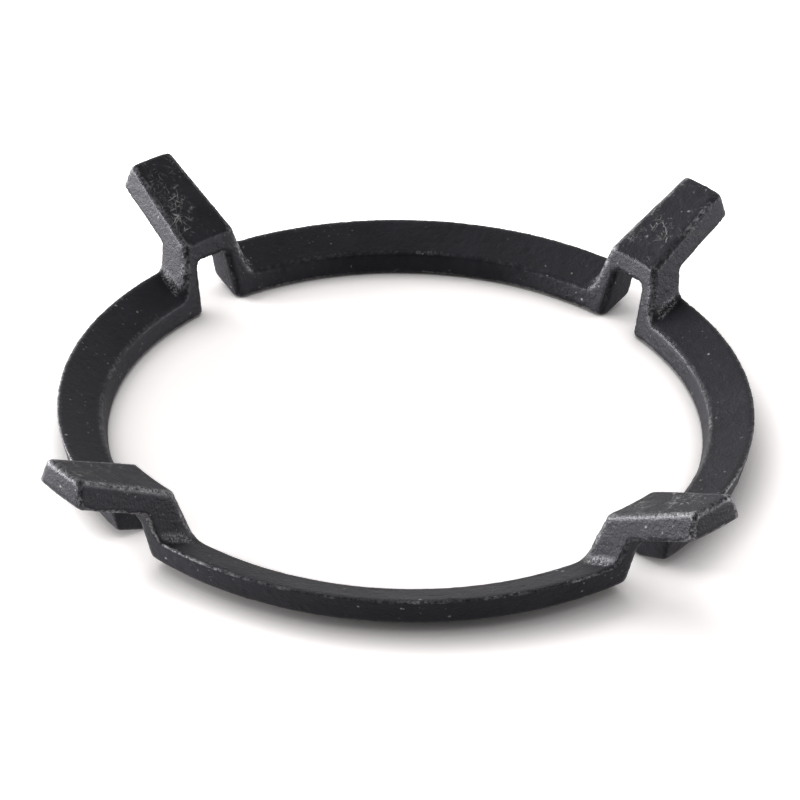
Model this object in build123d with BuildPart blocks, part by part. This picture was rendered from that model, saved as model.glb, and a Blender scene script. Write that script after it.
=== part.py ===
"""Wok ring: a one-piece iron casting that stands on a gas hob's pan support and holds a round wok.

The ring is a dished band, turned about Z, that stands on a narrow flat along its inner lower edge.
Four arms rise from it. Each arm bridges a notch that drops over one finger of the pan support, and
carries on outwards and upwards past the ring, along the slope of the wok's belly.
"""

import os
from math import radians, tan

from build123d import *

# Ring, in millimetres and degrees. Sizes are to corners, before they are rounded or broken.
outer_diameter = 178.2  # across the outer rim
band_width = 10.6  # from the inner rim to the outer rim
seat_height = 6.3  # inner rim above the table
rim_rise = 4.4  # outer rim above the inner rim
belly_height = 3.0  # lower outer edge above the table
foot_land = 2.9  # from the inner wall to the end of the flat that the ring stands on
inner_draft = 14.0  # lean of the inner wall
outer_draft = 11.5  # lean of the outer wall

# Notches under the arms
notch_width = 13.2  # across the mouth, at the inner wall
notch_height = 14.0  # roof above the table, at the inner wall
notch_draft = 6.0  # lean of a notch's sides together, upwards
notch_flare = 4.5  # lean of a notch's sides and roof apart, outwards
notch_corner = 1.6  # radius of the corners of the roof

# Arms
arm_count = 4
bridge_depth = 6.0  # casting above a notch, at the inner wall
shoulder_rise = 3.6  # arm's underside above the notch's height, at the outer wall
arm_reach = 17.9  # upper edge of an arm's tip beyond the outer rim
arm_rise = 13.9  # upper edge of an arm's tip above the bridge
tip_depth = 7.3  # height of an arm's end face
tip_draft = 12.0  # lean of an arm's end face
arm_width = 15.5  # across an arm's top at its inner edge
arm_spread = 4.0  # lean of an arm's sides apart, outwards
arm_draft = 15.0  # lean of an arm's sides together, upwards

# Rounded corners and broken edges of the casting
root_fillet = 3.0  # between an arm's legs and the ring's top
shoulder_fillet = 2.0  # between an arm's underside and its legs
belly_fillet = 2.0  # lower outer edge of the ring
foot_bevel = 0.8  # inner edge of the foot
nose_fillet = 1.3  # inner edge and tip of an arm
edge_break = 0.5  # sides of the arms and rims of the ring
notch_break = 0.4  # mouths of the notches

inner_diameter = outer_diameter - 2 * band_width
rim_height = seat_height + rim_rise
bridge_height = notch_height + bridge_depth
shoulder_height = notch_height + shoulder_rise
tip_radius = outer_diameter / 2 + arm_reach
tip_height = bridge_height + arm_rise


def inner_radius(height):
    """Radius of the inner wall at a height above the table."""
    return inner_diameter / 2 + (height - seat_height) * tan(radians(inner_draft))


def outer_radius(height):
    """Radius of the outer wall at a height above the table."""
    return outer_diameter / 2 + (height - rim_height) * tan(radians(outer_draft))


def top_height(radius):
    """Height of the ring's top, which falls inwards, at a distance from the axis."""
    fall = (rim_height - seat_height) / (outer_diameter - inner_diameter) * 2
    return seat_height + (radius - inner_diameter / 2) * fall


def arm_side(radius):
    """Half the width of an arm's wedge, at the table, at a distance from the axis."""
    at_bridge = arm_width / 2 + bridge_height * tan(radians(arm_draft))
    return at_bridge + (radius - inner_radius(bridge_height)) * tan(radians(arm_spread))


# One section holds the ring, a leg and an arm. Each corner has its rounding beside it.
tip_bottom = (tip_radius + tip_depth * tan(radians(tip_draft)), tip_height - tip_depth)
section = {
    (inner_radius(foot_bevel), foot_bevel): 0,
    (inner_radius(0) + foot_bevel, 0): 0,
    (inner_radius(0) + foot_land, 0): 0,
    (outer_radius(belly_height), belly_height): belly_fillet,
    (outer_radius(shoulder_height), shoulder_height): shoulder_fillet,
    tip_bottom: nose_fillet,
    (tip_radius, tip_height): nose_fillet,
    (inner_radius(bridge_height), bridge_height): nose_fillet,
}

# Sections are drawn halfway between two arms, so that no seam runs along an arm
section_plane = Plane((0, 0, 0), x_dir=(1, 1, 0), z_dir=(1, -1, 0))
near = 0.8 * inner_radius(0)
far = 1.2 * tip_radius

# The open space above the ring, from each arm to the next
with BuildPart() as gaps:
    with BuildSketch(section_plane):
        Polygon(
            (near, top_height(near)),
            (far, top_height(far)),
            (far, 1.1 * tip_height),
            (near, 1.1 * tip_height),
            align=None,
        )
    revolve(axis=Axis.Z)
    with BuildSketch(Plane.XY):
        with PolarLocations(0, arm_count):
            Polygon(
                (near / 2, -arm_side(near / 2)),
                (1.2 * far, -arm_side(1.2 * far)),
                (1.2 * far, arm_side(1.2 * far)),
                (near / 2, arm_side(near / 2)),
                align=None,
            )
    extrude(amount=1.2 * tip_height, taper=arm_draft, mode=Mode.SUBTRACT)

# One notch, drawn from just inside the ring and widening outwards
narrowing = notch_height * tan(radians(notch_draft))
with BuildPart() as notch:
    with BuildSketch(Plane.YZ.offset(inner_radius(0) - 1)):
        with BuildLine():
            FilletPolyline(
                (-notch_width / 2 - narrowing, -notch_height),
                (notch_width / 2 + narrowing, -notch_height),
                (notch_width / 2 - narrowing, notch_height),
                (-notch_width / 2 + narrowing, notch_height),
                radius=(0, 0, notch_corner, notch_corner),
                close=True,
            )
        make_face()
    extrude(amount=tip_radius - inner_radius(0), taper=-notch_flare)

with BuildPart() as wok_ring:
    with BuildSketch(section_plane):
        with BuildLine():
            FilletPolyline(*section.keys(), radius=section.values(), close=True)
        make_face()
    revolve(axis=Axis.Z)
    add(gaps.part, mode=Mode.SUBTRACT)

    # The legs run into the ring's top in a cove, and one broken edge runs around arms and rims
    slanted = wok_ring.edges().filter_by(GeomType.HYPERBOLA)
    fillet(slanted.filter_by_position(Axis.Z, seat_height, rim_height), root_fillet)
    slanted = wok_ring.edges().filter_by(GeomType.HYPERBOLA)
    chamfer(slanted.filter_by_position(Axis.Z, bridge_height, tip_height), edge_break)

    # The notches go through the legs last, with a broken edge around each mouth
    with PolarLocations(0, arm_count):
        add(notch.part, mode=Mode.SUBTRACT)
    chamfer(wok_ring.edges(Select.LAST).filter_by(GeomType.ELLIPSE), notch_break)

wok_ring.part.label = "wok_ring"
os.makedirs("parts", exist_ok=True)
export_step(wok_ring.part, "parts/wok_ring.step")
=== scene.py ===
# %% [markdown]
# # A cast-iron wok ring
# The ring is one black casting: a dished band with four upswept arms, each over a notch. Its shape comes
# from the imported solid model, which stays fixed. This lesson gives it what a drawing leaves out: the skin
# that a sand mould leaves, corners that are worn round, a blackened finish, and a studio to show it in.

# %% Load the solid casting
from math import cos, pi, radians, sin

import bpy
import numpy as np
from mathutils import Matrix, Vector, kdtree, noise


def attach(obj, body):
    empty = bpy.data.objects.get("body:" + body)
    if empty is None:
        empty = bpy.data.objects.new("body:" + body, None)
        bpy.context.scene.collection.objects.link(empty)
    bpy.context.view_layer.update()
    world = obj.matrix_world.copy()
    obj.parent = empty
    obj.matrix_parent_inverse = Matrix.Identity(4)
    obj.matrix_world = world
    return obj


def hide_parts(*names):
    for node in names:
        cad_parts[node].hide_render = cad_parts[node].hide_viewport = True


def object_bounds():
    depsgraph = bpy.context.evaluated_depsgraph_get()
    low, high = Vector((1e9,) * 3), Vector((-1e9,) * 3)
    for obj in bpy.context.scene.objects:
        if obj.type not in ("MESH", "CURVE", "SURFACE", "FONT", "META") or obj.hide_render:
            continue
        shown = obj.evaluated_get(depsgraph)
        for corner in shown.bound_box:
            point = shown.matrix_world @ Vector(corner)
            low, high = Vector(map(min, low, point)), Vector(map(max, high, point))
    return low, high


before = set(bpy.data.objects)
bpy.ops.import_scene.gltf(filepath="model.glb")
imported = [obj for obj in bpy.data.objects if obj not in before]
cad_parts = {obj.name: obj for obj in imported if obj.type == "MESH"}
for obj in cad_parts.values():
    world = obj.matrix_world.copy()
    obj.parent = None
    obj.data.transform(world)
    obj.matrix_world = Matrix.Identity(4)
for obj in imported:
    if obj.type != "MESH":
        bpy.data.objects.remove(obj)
solid_box = [list(corner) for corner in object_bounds()]
print("solid casting, millimetres:", [round(1000 * (b - a), 1) for a, b in zip(*solid_box)])

# %% [markdown]
# ## An even skin over the solid
# The solid's triangles are long slivers, which are no use for fine relief. A voxel remesh lays an even net
# of small squares over the same shape, and a shrinkwrap draws it tight onto the solid. A few rounds of
# smoothing then take the sharpness off every corner, as tumbling with shot does to a casting. Bevelling
# edge by edge would leave them all alike, and too crisp.

# %% Copy the solid and give it an even net
seam_width = 0.000005
square_size = 0.0006
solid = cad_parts["wok_ring"]
blank = bpy.data.objects.new("blank", solid.data.copy())
bpy.context.scene.collection.objects.link(blank)

weld = blank.modifiers.new("close the seams", "WELD")
weld.merge_threshold = seam_width
net = blank.modifiers.new("even net", "REMESH")
net.mode = "VOXEL"
net.voxel_size = square_size
tight = blank.modifiers.new("drawn tight", "SHRINKWRAP")
tight.target = solid
tumble = blank.modifiers.new("tumbled corners", "SMOOTH")
tumble.factor = 0.5
tumble.iterations = 4

skin = bpy.data.meshes.new_from_object(blank.evaluated_get(bpy.context.evaluated_depsgraph_get()))
bpy.data.objects.remove(blank)
print("skin:", len(skin.vertices), "points,", len(skin.polygons), "squares")

# %% [markdown]
# ## Where the skin bulges and where it is hollow
# The black wears off corners first, with a painted highlight along them, and coves stay sandy, with painted
# glints. Both depend on how the surface bends, so it is worth measuring once. Each point is compared with
# the average of its neighbours: on a corner it stands proud of them, in a cove it lies below them, and on a
# flat face it is level with them.

# %% Measure the bend of the skin
count = len(skin.vertices)
points = np.zeros(3 * count)
normals = np.zeros(3 * count, np.float32)
ends = np.zeros(2 * len(skin.edges), np.int32)
skin.vertices.foreach_get("co", points)
skin.vertex_normals.foreach_get("vector", normals)
skin.edges.foreach_get("vertices", ends)
points = points.reshape(-1, 3)
normals = normals.reshape(-1, 3).astype(float)
ends = ends.reshape(-1, 2)
neighbours = np.bincount(ends.ravel(), minlength=count)[:, None]


def averaged(values, rounds):
    """Values at the points, each averaged with those of its neighbours, a number of times."""
    for _ in range(rounds):
        total = np.zeros_like(values)
        for here, there in ((0, 1), (1, 0)):
            for axis in range(values.shape[1]):
                total[:, axis] += np.bincount(ends[:, here], values[ends[:, there], axis], count)
        values = 0.5 * values + 0.5 * total / neighbours
    return values


bulge = ((points - averaged(points, 6)) * normals).sum(1)
print("bulge, millimetres:", round(1000 * bulge.min(), 2), "to", round(1000 * bulge.max(), 2))

# %% [markdown]
# ## Which corners wear and carry a painted highlight
# Not all corners wear alike. Pans and hands rub the arms' tops and the inner rim most, so their corners
# count for more, and the corners inside the notches count for less. The inner rim counts most, as its pale
# line is partly wear and partly a painted highlight. The wear could be painted by hand, but marks that are
# worked out from the bend miss no corner. They run from 0 to 1, so that a finish can fade with them.

# %% Mark the worn corners, with their painted highlight, and the coves
level_bend = 0.00003
worn_bend = 0.00013
cove_bend = 0.00006
bridge_height = 0.019
notch_half_width = 0.0075
inner_wall_reach = 0.0815
from_axis = np.hypot(points[:, 0], points[:, 1])
from_arm_line = np.abs(points[:, :2]).min(1)

on_arm = points[:, 2] > bridge_height
in_notch = from_arm_line < notch_half_width
on_inner_wall = from_axis < inner_wall_reach
# The inner wall's weight is the largest because its rim also carries a painted highlight line.
rub_and_highlight_weight = np.select([on_arm, in_notch, on_inner_wall], [1.4, 0.6, 1.9], 1.0)
worn_and_highlight_edge = np.clip(rub_and_highlight_weight * (bulge - level_bend) / worn_bend, 0, 1)
cove = np.clip((-bulge - level_bend) / cove_bend, 0, 1)
print("points on corners:", int((worn_and_highlight_edge > 0.3).sum()), " in coves:", int((cove > 0.3).sum()))

# %% [markdown]
# ## A rapped mould
# A pattern is rapped from side to side before it is drawn from the sand, so the hollow that it leaves grows
# a little. The ring in the picture shows such growth: measured against the solid, its inner wall stands
# about a millimetre further in, its arms are wider and its notches tighter, while the rim and the arms'
# ends keep to size. Scaling the ring would change those too. Instead each point of the walls that grew moves
# sideways along its normal, which keeps every height as it was.

# %% Let the upright walls grow
wall_growth = 0.0011
side_growth = 0.0007
ring_reach = 0.098
fade_width = 0.008
outwards = np.column_stack((points[:, :2] / from_axis[:, None], np.zeros(count)))
facing_out = (normals * outwards).sum(1)
facing_aside = normals * (1, 1, 0) - facing_out[:, None] * outwards
on_ring = np.clip((ring_reach - from_axis) / fade_width, 0, 1)
inwards = np.minimum(facing_out, 0) * on_ring
points = points + wall_growth * inwards[:, None] * outwards + side_growth * facing_aside
innermost = np.hypot(points[:, 0], points[:, 1]).min()
print("innermost point, millimetres from the axis:", round(1000 * innermost, 2))

# %% [markdown]
# ## The grain of the sand
# A sand mould prints its grains on the metal, and the casting cools a little unevenly, so its faces wander
# by a tenth of a millimetre. Both are layers of smooth noise, coarse and fine, and both sink into the skin.
# A last layer bites at the worn corners, so that no edge is a ruled line. A bump in the finish would leave
# the outline smooth, so the points themselves are moved.

# %% Work out the relief of a sand mould
places = [Vector(point) for point in points]


def ripple(size, shift):
    """Smooth noise from 0 to 1 at every point, with bumps of about the given size in metres.

    The shift moves the pattern, so that no two layers are alike.
    """
    return np.array([0.5 + 0.5 * noise.noise((place + Vector(shift)) / size) for place in places])


swell = 0.00008 * ripple(0.016, (0, 0, 0))
dents = 0.00004 * ripple(0.0042, (1, 0, 0))
grain = 0.00004 * ripple(0.0014, (0, 1, 0))
bites = 0.00010 * worn_and_highlight_edge * np.clip(4 * ripple(0.0021, (0, 0, 1)) - 2.4, 0, 1)
relief = -swell - dents - grain - bites
print("relief, millimetres:", round(1000 * relief.min(), 2), "to", round(1000 * relief.max(), 2))

# %% [markdown]
# ## Pimples and pits
# Grains that wash out of a mould leave pimples on the casting, and grains that stay in the metal leave
# pits. There are a few hundred of them, each about a millimetre wide, too many to set by hand. A seeded
# generator draws their places, so that each run gives the same casting. The result is held inside the
# solid's box.

# %% Raise pimples and sink pits
spots = 620
share_raised = 0.6
draw = np.random.default_rng(7)
nearby = kdtree.KDTree(count)
for number, place in enumerate(places):
    nearby.insert(place, number)
nearby.balance()

for centre in draw.choice(count, spots, replace=False):
    width = draw.uniform(0.0006, 0.0011)
    height = draw.uniform(0.00005, 0.00016)
    if draw.random() >= share_raised:
        height = -height
    for _, number, distance in nearby.find_range(places[centre], 2 * width):
        relief[number] += height * np.exp(-((1.5 * distance / width) ** 2))

cast = np.clip(points + relief[:, None] * normals, *solid_box)
skin.vertices.foreach_set("co", cast.ravel())
skin.polygons.foreach_set("use_smooth", np.ones(len(skin.polygons), bool))
skin.update()
print("relief with pimples and pits:", round(1000 * relief.min(), 2), "to", round(1000 * relief.max(), 2))

# %% [markdown]
# ## The casting as a piece
# The skin becomes the piece that is shown, in place of the solid. It carries the marks for corners and
# coves as attributes, and one more: the arms' tops, where pans are dragged across. An attribute holds one
# value at each point, which the finish can read without an image.

# %% Make the casting and mark its worn places
bridge_start = 0.081
facing_up = np.clip((normals[:, 2] - 0.7) / 0.12, 0, 1)
arm_top = facing_up * (points[:, 2] > bridge_height) * (from_axis > bridge_start)
for name, values in {"worn_and_highlight_edge": worn_and_highlight_edge, "cove": cove, "arm_top": arm_top}.items():
    skin.attributes.new(name, "FLOAT", "POINT").data.foreach_set("value", values.astype(np.float32))

casting = bpy.data.objects.new("casting", skin)
bpy.context.scene.collection.objects.link(casting)
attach(casting, "root")
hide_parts("wok_ring")
print("casting:", len(skin.polygons), "faces; share on arm tops:", round(float(arm_top.mean()), 3))

# %% [markdown]
# ## A finish of blackened iron
# The iron is blackened, so it is near black with a cool tint and a satin sheen. The finish could be an image
# that is wrapped around the casting, but then its seams would show. Each layer below is one chain of nodes
# instead, which reads the object's own coordinates and so holds from every side.

# %% Start the finish
finish = bpy.data.materials.new("blackened_iron")
finish.use_nodes = True
skin.materials.clear()
skin.materials.append(finish)
coat = finish.node_tree
sheen = coat.nodes["Principled BSDF"]
sheen.inputs["Specular IOR Level"].default_value = 0.22
sheen.inputs["Specular Tint"].default_value = (0.94, 0.92, 1.0, 1)


def linked(tree, kind, joins=None, values=None, **settings):
    """A new node of a tree, with its settings, its joined inputs and the values of its other inputs."""
    node = tree.nodes.new(kind)
    for name, setting in settings.items():
        setattr(node, name, setting)
    for name, value in (values or {}).items():
        node.inputs[name].default_value = value
    for name, source in (joins or {}).items():
        tree.links.new(source, node.inputs[name])
    return node


coordinates = linked(coat, "ShaderNodeTexCoord").outputs["Object"]
print("finish started:", finish.name)

# %% [markdown]
# ## Layers and masks
# The finish has many layers, and each is the same few steps: noise, stretched to a mask, joined with another
# mask, with a colour laid over where it says. One helper for each step keeps a layer to a line or two. Each
# helper adds one node and gives back its result.


# %% Make the tools for layers and masks
def patches(scale, detail, roughness=0.55, where=coordinates):
    """Noise from 0 to 1. In the object's coordinates, a scale of 100 gives patches of about a centimetre."""
    values = {"Scale": scale, "Detail": detail, "Roughness": roughness}
    return linked(coat, "ShaderNodeTexNoise", {"Vector": where}, values).outputs["Fac"]


def fitted(value, low, high, to_low=0.0, to_high=1.0):
    """The value stretched from one span to another, and held within it."""
    span = {"From Min": low, "From Max": high, "To Min": to_low, "To Max": to_high}
    return linked(coat, "ShaderNodeMapRange", {"Value": value}, span).outputs["Result"]


def combined(operation, first, second):
    """Two masks joined: MULTIPLY keeps what both have, MAXIMUM what either has."""
    return linked(coat, "ShaderNodeMath", {0: first, 1: second}, operation=operation).outputs["Value"]


def painted(under, mask, colour):
    """A layer with a second colour laid over it where the mask says."""
    values = {7: (*colour, 1)}
    return linked(coat, "ShaderNodeMix", {"Factor": mask, 6: under}, values, data_type="RGBA").outputs[2]


def measured(name):
    """One of the values that the casting carries at its points."""
    return linked(coat, "ShaderNodeAttribute", attribute_name=name).outputs["Fac"]


print("tools made: patches, fitted, combined, painted, measured")

# %% [markdown]
# ## The black coat
# A flat black would look like plastic. The real coat is mottled: it wanders between two near blacks in
# patches of about a centimetre, and it is paler and duller where it is thick. One noise gives the patches,
# a colour ramp turns it into the two blacks, and the sheen follows the same noise further on.

# %% Mottle the black coat
mottle = patches(95, 4, 0.6)
stain = linked(coat, "ShaderNodeValToRGB", {"Fac": mottle})
thin, thick = stain.color_ramp.elements
thin.position = 0.34
thin.color = (0.0095, 0.0091, 0.0118, 1)
thick.position = 0.66
thick.color = (0.0170, 0.0163, 0.0205, 1)
black = stain.outputs["Color"]
print("black coat mottled:", len(coat.nodes), "nodes")

# %% [markdown]
# ## Worn corners and sandy coves, with painted highlights and glints
# Where corners rub, the black is thin and grey metal shows through in broken dashes; the same pale grey also
# stands in for the highlight along them, so it is partly wear and partly a painted highlight. In the coves,
# where the sand of the mould is hardest to pack, the skin is coarse, and its grains are painted pale as
# glints where they would catch the light. Both masks start from the measured bend and are broken up by
# noise, so that no part of them repeats.

# %% Wear the corners and grain the coves, with painted highlights and glints
# Pale grey of bare metal, which is also a painted highlight along the corners.
bare_metal_and_highlight = (0.240, 0.234, 0.244)
# Pale sand colour, which is a painted glint on the grains in the coves.
sand_and_painted_glint = (0.440, 0.430, 0.440)
long_breaks = fitted(patches(60, 3), 0.40, 0.60, 0.15, 1.0)
short_breaks = fitted(patches(950, 4, 0.75), 0.42, 0.60)
dashes = combined("MULTIPLY", long_breaks, short_breaks)
rubbed_and_highlight = combined("MULTIPLY", fitted(measured("worn_and_highlight_edge"), 0.55, 1.0), dashes)
grains = fitted(patches(1900, 3, 0.7), 0.47, 0.66)
sandy_and_glint = combined("MULTIPLY", fitted(measured("cove"), 0.1, 0.8), grains)
colour = painted(black, rubbed_and_highlight, bare_metal_and_highlight)
colour = painted(colour, sandy_and_glint, sand_and_painted_glint)
print("corners and coves painted:", len(coat.nodes), "nodes")

# %% [markdown]
# ## Scratches
# Pans leave fine scratches on the arms' tops: short, slightly bent and in many directions. Drawn one by one
# they would be hundreds of curves. Noise that is stretched to about ten times its width gives such strokes
# at once. Three sets of them are laid across one another, with faint rubbed patches between them, and they
# are kept to the places where a pan was dragged.

# %% Scratch the arms
scratch_grey = (0.280, 0.274, 0.270)
sway = 0.0022
values = {1: (sway, sway, sway)}
swirl = linked(coat, "ShaderNodeTexNoise", {"Vector": coordinates}, {"Scale": 240, "Detail": 2})
joins = {0: swirl.outputs["Color"], 2: coordinates}
bent = linked(coat, "ShaderNodeVectorMath", joins, values, operation="MULTIPLY_ADD").outputs[0]


def strokes(angle, length, width):
    """Scratches at an angle in degrees, seen from above."""
    values = {"Rotation": (0, 0, radians(angle)), "Scale": (length, width, 4 * width)}
    stretched = linked(coat, "ShaderNodeMapping", {"Vector": bent}, values, vector_type="TEXTURE")
    return fitted(patches(1, 2, where=stretched.outputs["Vector"]), 0.60, 0.74)


scratches = fitted(patches(520, 4, 0.7), 0.56, 0.80)
for angle, length, width in ((12, 0.0042, 0.0005), (64, 0.0050, 0.0004), (131, 0.0036, 0.0006)):
    scratches = combined("MAXIMUM", scratches, strokes(angle, length, width))
dragged = combined("MULTIPLY", measured("arm_top"), fitted(patches(80, 5, 0.72), 0.49, 0.60))
colour = painted(colour, combined("MULTIPLY", scratches, dragged), scratch_grey)
print("arms scratched:", len(coat.nodes), "nodes")

# %% [markdown]
# ## Chips and dust
# Small chips in the coat and grains of dust are pale specks, in clusters. They are the middles of a few
# cells in a cell pattern, which is quicker than setting them one by one and never lands in rows.


# %% Scatter the specks
def specks(scale, size, share):
    """Spots in a share of the cells of a pattern. The size is a share of a cell, and paleness varies."""
    cells = linked(coat, "ShaderNodeTexVoronoi", {"Vector": bent}, {"Scale": scale})
    lot = linked(coat, "ShaderNodeSeparateColor", {"Color": cells.outputs["Color"]}).outputs["Red"]
    spot = fitted(cells.outputs["Distance"], size, 0.4 * size)
    return combined("MULTIPLY", spot, fitted(lot, 1 - share, 1.0))


chip_grey = (0.42, 0.41, 0.41)
dust_grey = (0.200, 0.197, 0.197)
chips = combined("MULTIPLY", specks(430, 0.20, 0.14), fitted(patches(45, 3), 0.44, 0.54))
dust = combined("MULTIPLY", specks(900, 0.28, 0.30), fitted(patches(62, 4, 0.65), 0.48, 0.57))
colour = painted(colour, chips, chip_grey)
colour = painted(colour, dust, dust_grey)
coat.links.new(colour, sheen.inputs["Base Color"])
print("specks scattered:", len(coat.nodes), "nodes")

# %% [markdown]
# ## Sheen and fine grain
# The coat is duller where it is thick, so the roughness follows the same mottling. Corners are rubbed
# smooth by hands and pans, and the grains in the coves shine, so both are glossier than the rest. The
# finest grain of the sand is too small for the net, and is left to two bumps.

# %% Vary the sheen and add the finest grain
satin = fitted(mottle, 0.3, 0.7, 0.40, 0.55)
smooth_edge = fitted(measured("worn_and_highlight_edge"), 0.08, 0.38)
glossy = combined("MAXIMUM", smooth_edge, sandy_and_glint)
values = {"B": 0.33}
polish = linked(coat, "ShaderNodeMix", {"Factor": glossy, "A": satin}, values, data_type="FLOAT")
coat.links.new(polish.outputs["Result"], sheen.inputs["Roughness"])

values = {"Strength": 1.0, "Distance": 0.00014}
fine = linked(coat, "ShaderNodeBump", {"Height": patches(1500, 3, 0.6)}, values)
values = {"Strength": 0.7, "Distance": 0.00028}
joins = {"Height": patches(560, 3, 0.6), "Normal": fine.outputs["Normal"]}
coarse = linked(coat, "ShaderNodeBump", joins, values)
coat.links.new(coarse.outputs["Normal"], sheen.inputs["Normal"])
print("finish done:", len(coat.nodes), "nodes")

# %% [markdown]
# ## A white table
# The ring stands on a plain white table that runs on behind it without a line. It could be a sheet that
# curves up into a wall. One large disc is simpler, and wide enough that the picture never shows its edge.

# %% Lay the table
bpy.ops.mesh.primitive_circle_add(vertices=96, radius=12, fill_type="NGON")
table = bpy.context.object
table.name = "table"
paper = bpy.data.materials.new("white_table")
paper.use_nodes = True
table.data.materials.append(paper)
print("table laid:", table.name)

# %% [markdown]
# ## Whiter than white
# The picture was exposed for the black iron, so its table is whiter than white. A brighter lamp would turn
# the iron grey, so the table's own white depends on who looks: the camera sees it brighter than the light
# that bounces off it does, and mirrored rays see it a little brighter. Under the rim and close to it little
# of the sky is open, and there the camera sees it darker: a painted shadow that deepens the narrow shadow
# under the rim. The white is a little warm, as the shadows show.

# %% Whiten the table and paint the shadow under the rim
tree = paper.node_tree
ray = linked(tree, "ShaderNodeLightPath").outputs
mirrors = {0: ray["Is Glossy Ray"], 1: ray["Is Transmission Ray"]}
mirrored = linked(tree, "ShaderNodeMath", mirrors, operation="MAXIMUM").outputs[0]
lift = {1: 0.03, 2: 0.84}
plain = linked(tree, "ShaderNodeMath", {0: mirrored}, lift, operation="MULTIPLY_ADD").outputs[0]
# Where little sky is open, the camera's extra white turns negative: a painted shadow under the rim.
reach = {"Distance": 0.012}
openness = linked(tree, "ShaderNodeAmbientOcclusion", values=reach, samples=8).outputs["AO"]
span = {"From Min": 0.3, "From Max": 0.95, "To Min": -0.35, "To Max": 1.0}
camera_white_and_painted_shadow = linked(tree, "ShaderNodeMapRange", {"Value": openness}, span).outputs["Result"]
shares = {0: ray["Is Camera Ray"], 1: camera_white_and_painted_shadow, 2: plain}
white = linked(tree, "ShaderNodeMath", shares, operation="MULTIPLY_ADD").outputs[0]
tint = {1: (1.0, 0.97, 0.96)}
warm = linked(tree, "ShaderNodeVectorMath", {0: white}, tint, operation="MULTIPLY").outputs[0]
cloth = linked(tree, "ShaderNodeBsdfDiffuse", {"Color": warm})
tree.links.new(cloth.outputs[0], tree.nodes["Material Output"].inputs["Surface"])
print("table whitened:", len(tree.nodes), "nodes")

# %% [markdown]
# ## Walls and ceiling
# A black object is mostly seen by what it mirrors, so the room matters as much as the lamps. It could be
# built of panels, but white walls under a dim ceiling are just as well one sky, which fades upwards.

# %% Set the walls and the ceiling
sky = bpy.data.worlds.new("studio")
bpy.context.scene.world = sky
sky.use_nodes = True
tree = sky.node_tree
direction = linked(tree, "ShaderNodeTexCoord").outputs["Generated"]
upwards = linked(tree, "ShaderNodeSeparateXYZ", {0: direction}).outputs["Z"]
span = {"From Min": 0.25, "From Max": 0.65, "To Min": 0.85, "To Max": 0.42}
fade = linked(tree, "ShaderNodeMapRange", {"Value": upwards}, span)
tree.links.new(fade.outputs["Result"], tree.nodes["Background"].inputs["Strength"])
tree.nodes["Background"].inputs["Color"].default_value = (1, 1, 1, 1)
print("walls", span["To Min"], "ceiling", span["To Max"])

# %% [markdown]
# ## A black card
# Without a dark side, black iron turns grey. A photographer stands a black card behind the camera, so that
# the faces that look forwards mirror something dark. Here it is a plain upright sheet that the camera
# doesn't see.

# %% Stand the black card behind the camera
card_width = 4.0
card_height = 1.6
card_distance = 1.5
picture_turn = radians(-41.988)
stand = Matrix.Rotation(picture_turn, 3, "Z")
bpy.ops.mesh.primitive_plane_add(size=1)
card = bpy.context.object
card.name = "black_card"
card.scale = (card_width, card_height, 1)
card.rotation_euler = (stand @ Matrix.Rotation(pi / 2, 3, "X")).to_euler()
card.location = stand @ Vector((0, -card_distance, card_height / 2))
card.visible_camera = False

soot = bpy.data.materials.new("black_card")
soot.use_nodes = True
card.data.materials.append(soot)
dull = soot.node_tree.nodes["Principled BSDF"].inputs
dull["Base Color"].default_value = (0.02, 0.02, 0.02, 1)
dull["Roughness"].default_value = 1.0
print("card at", [round(x, 2) for x in card.location])

# %% [markdown]
# ## Light
# A small hard lamp would leave sparks on black iron and sharp shadows, so the lamps are large and soft. The
# main one stands low on the left like a window, so the faces that look left shine and soft shadows fall to
# the right. A weaker one in the corner behind it lifts the far arms, one on the right keeps the other faces
# readable, and a faint one high at the back draws the rim's shadow to the front.


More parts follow.
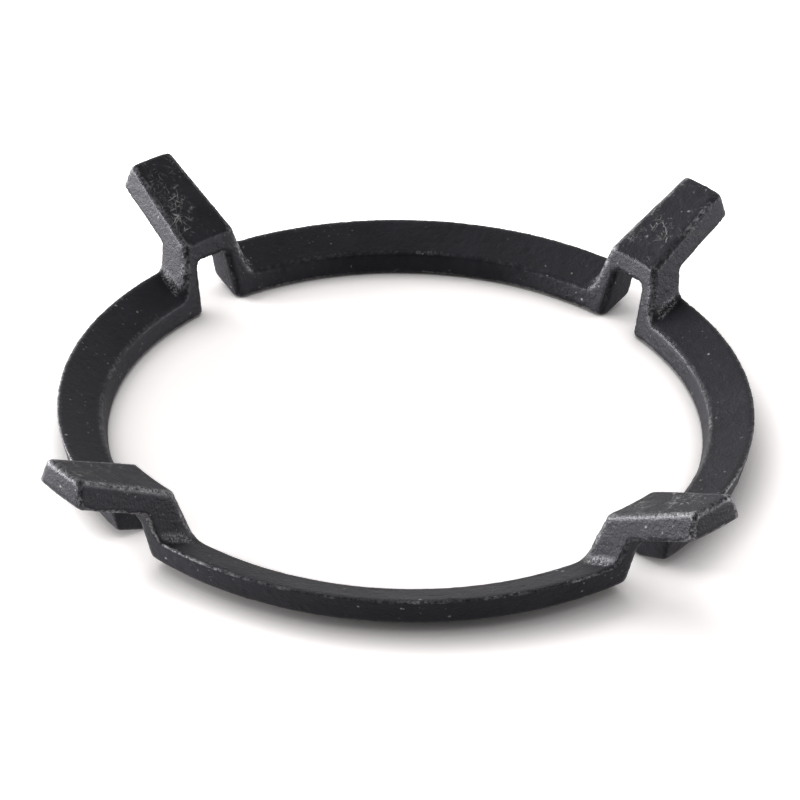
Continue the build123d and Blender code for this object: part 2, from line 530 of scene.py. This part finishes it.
# %% Set the lamps
def lamp(name, direction, distance, width, height, power):
    """A soft rectangular lamp that faces the ring. The direction is from the ring, as the picture sees it."""
    data = bpy.data.lights.new(name, "AREA")
    data.shape = "RECTANGLE"
    data.size = width
    data.size_y = height
    data.energy = power
    piece = bpy.data.objects.new(name, data)
    bpy.context.scene.collection.objects.link(piece)
    towards = stand @ Vector(direction).normalized()
    piece.location = towards * distance
    piece.rotation_euler = towards.to_track_quat("Z", "Y").to_euler()
    print(name, [round(x, 2) for x in piece.location], power, "W")


lamp("window_lamp", (-0.97, 0.15, 0.13), distance=0.75, width=0.8, height=0.2, power=17.5)
lamp("corner_lamp", (-0.7, 0.7, 0.14), distance=1.0, width=0.8, height=0.26, power=2.5)
lamp("side_lamp", (0.98, 0.0, 0.14), distance=0.6, width=0.6, height=0.18, power=3.2)
lamp("back_lamp", (-0.3, 0.5, 0.8), distance=1.1, width=0.8, height=0.6, power=1.5)

# %% [markdown]
# ## Camera
# The picture was taken with a long lens that looks down at about 34 degrees, from between two arms. Its
# place was worked out from the ellipses of the ring and the corners of the arms. The camera looks at the
# middle of the ring, and then leans by the small angles that a hand-held shot has.

# %% Set the camera
look_down = radians(33.736)
camera_distance = 0.800
roll = Matrix.Rotation(radians(-1.2659), 3, "Z")
tilt = Matrix.Rotation(radians(-0.4834), 3, "X")
turn = Matrix.Rotation(radians(-0.1097), 3, "Y")
camera = bpy.data.objects.new("camera", bpy.data.cameras.new("camera"))
bpy.context.scene.collection.objects.link(camera)
bpy.context.scene.camera = camera
camera.data.lens = 139.9
camera.data.clip_start = 0.05

level = Matrix.Rotation(pi / 2 - look_down, 3, "X")
lean = (roll @ tilt @ turn).transposed()
place = stand @ Vector((0, -cos(look_down), sin(look_down))) * camera_distance
camera.matrix_world = Matrix.Translation(place) @ (stand @ level @ lean).to_4x4()
print("camera at", [round(x, 3) for x in camera.location], "lens", round(camera.data.lens, 1))

# %% [markdown]
# ## Finish
# Colours are shown plainly, with no film curve. The skin may not reach beyond the solid's overall
# size.

# %% Finish
bpy.context.scene.view_settings.view_transform = "Standard"
bpy.context.view_layer.update()
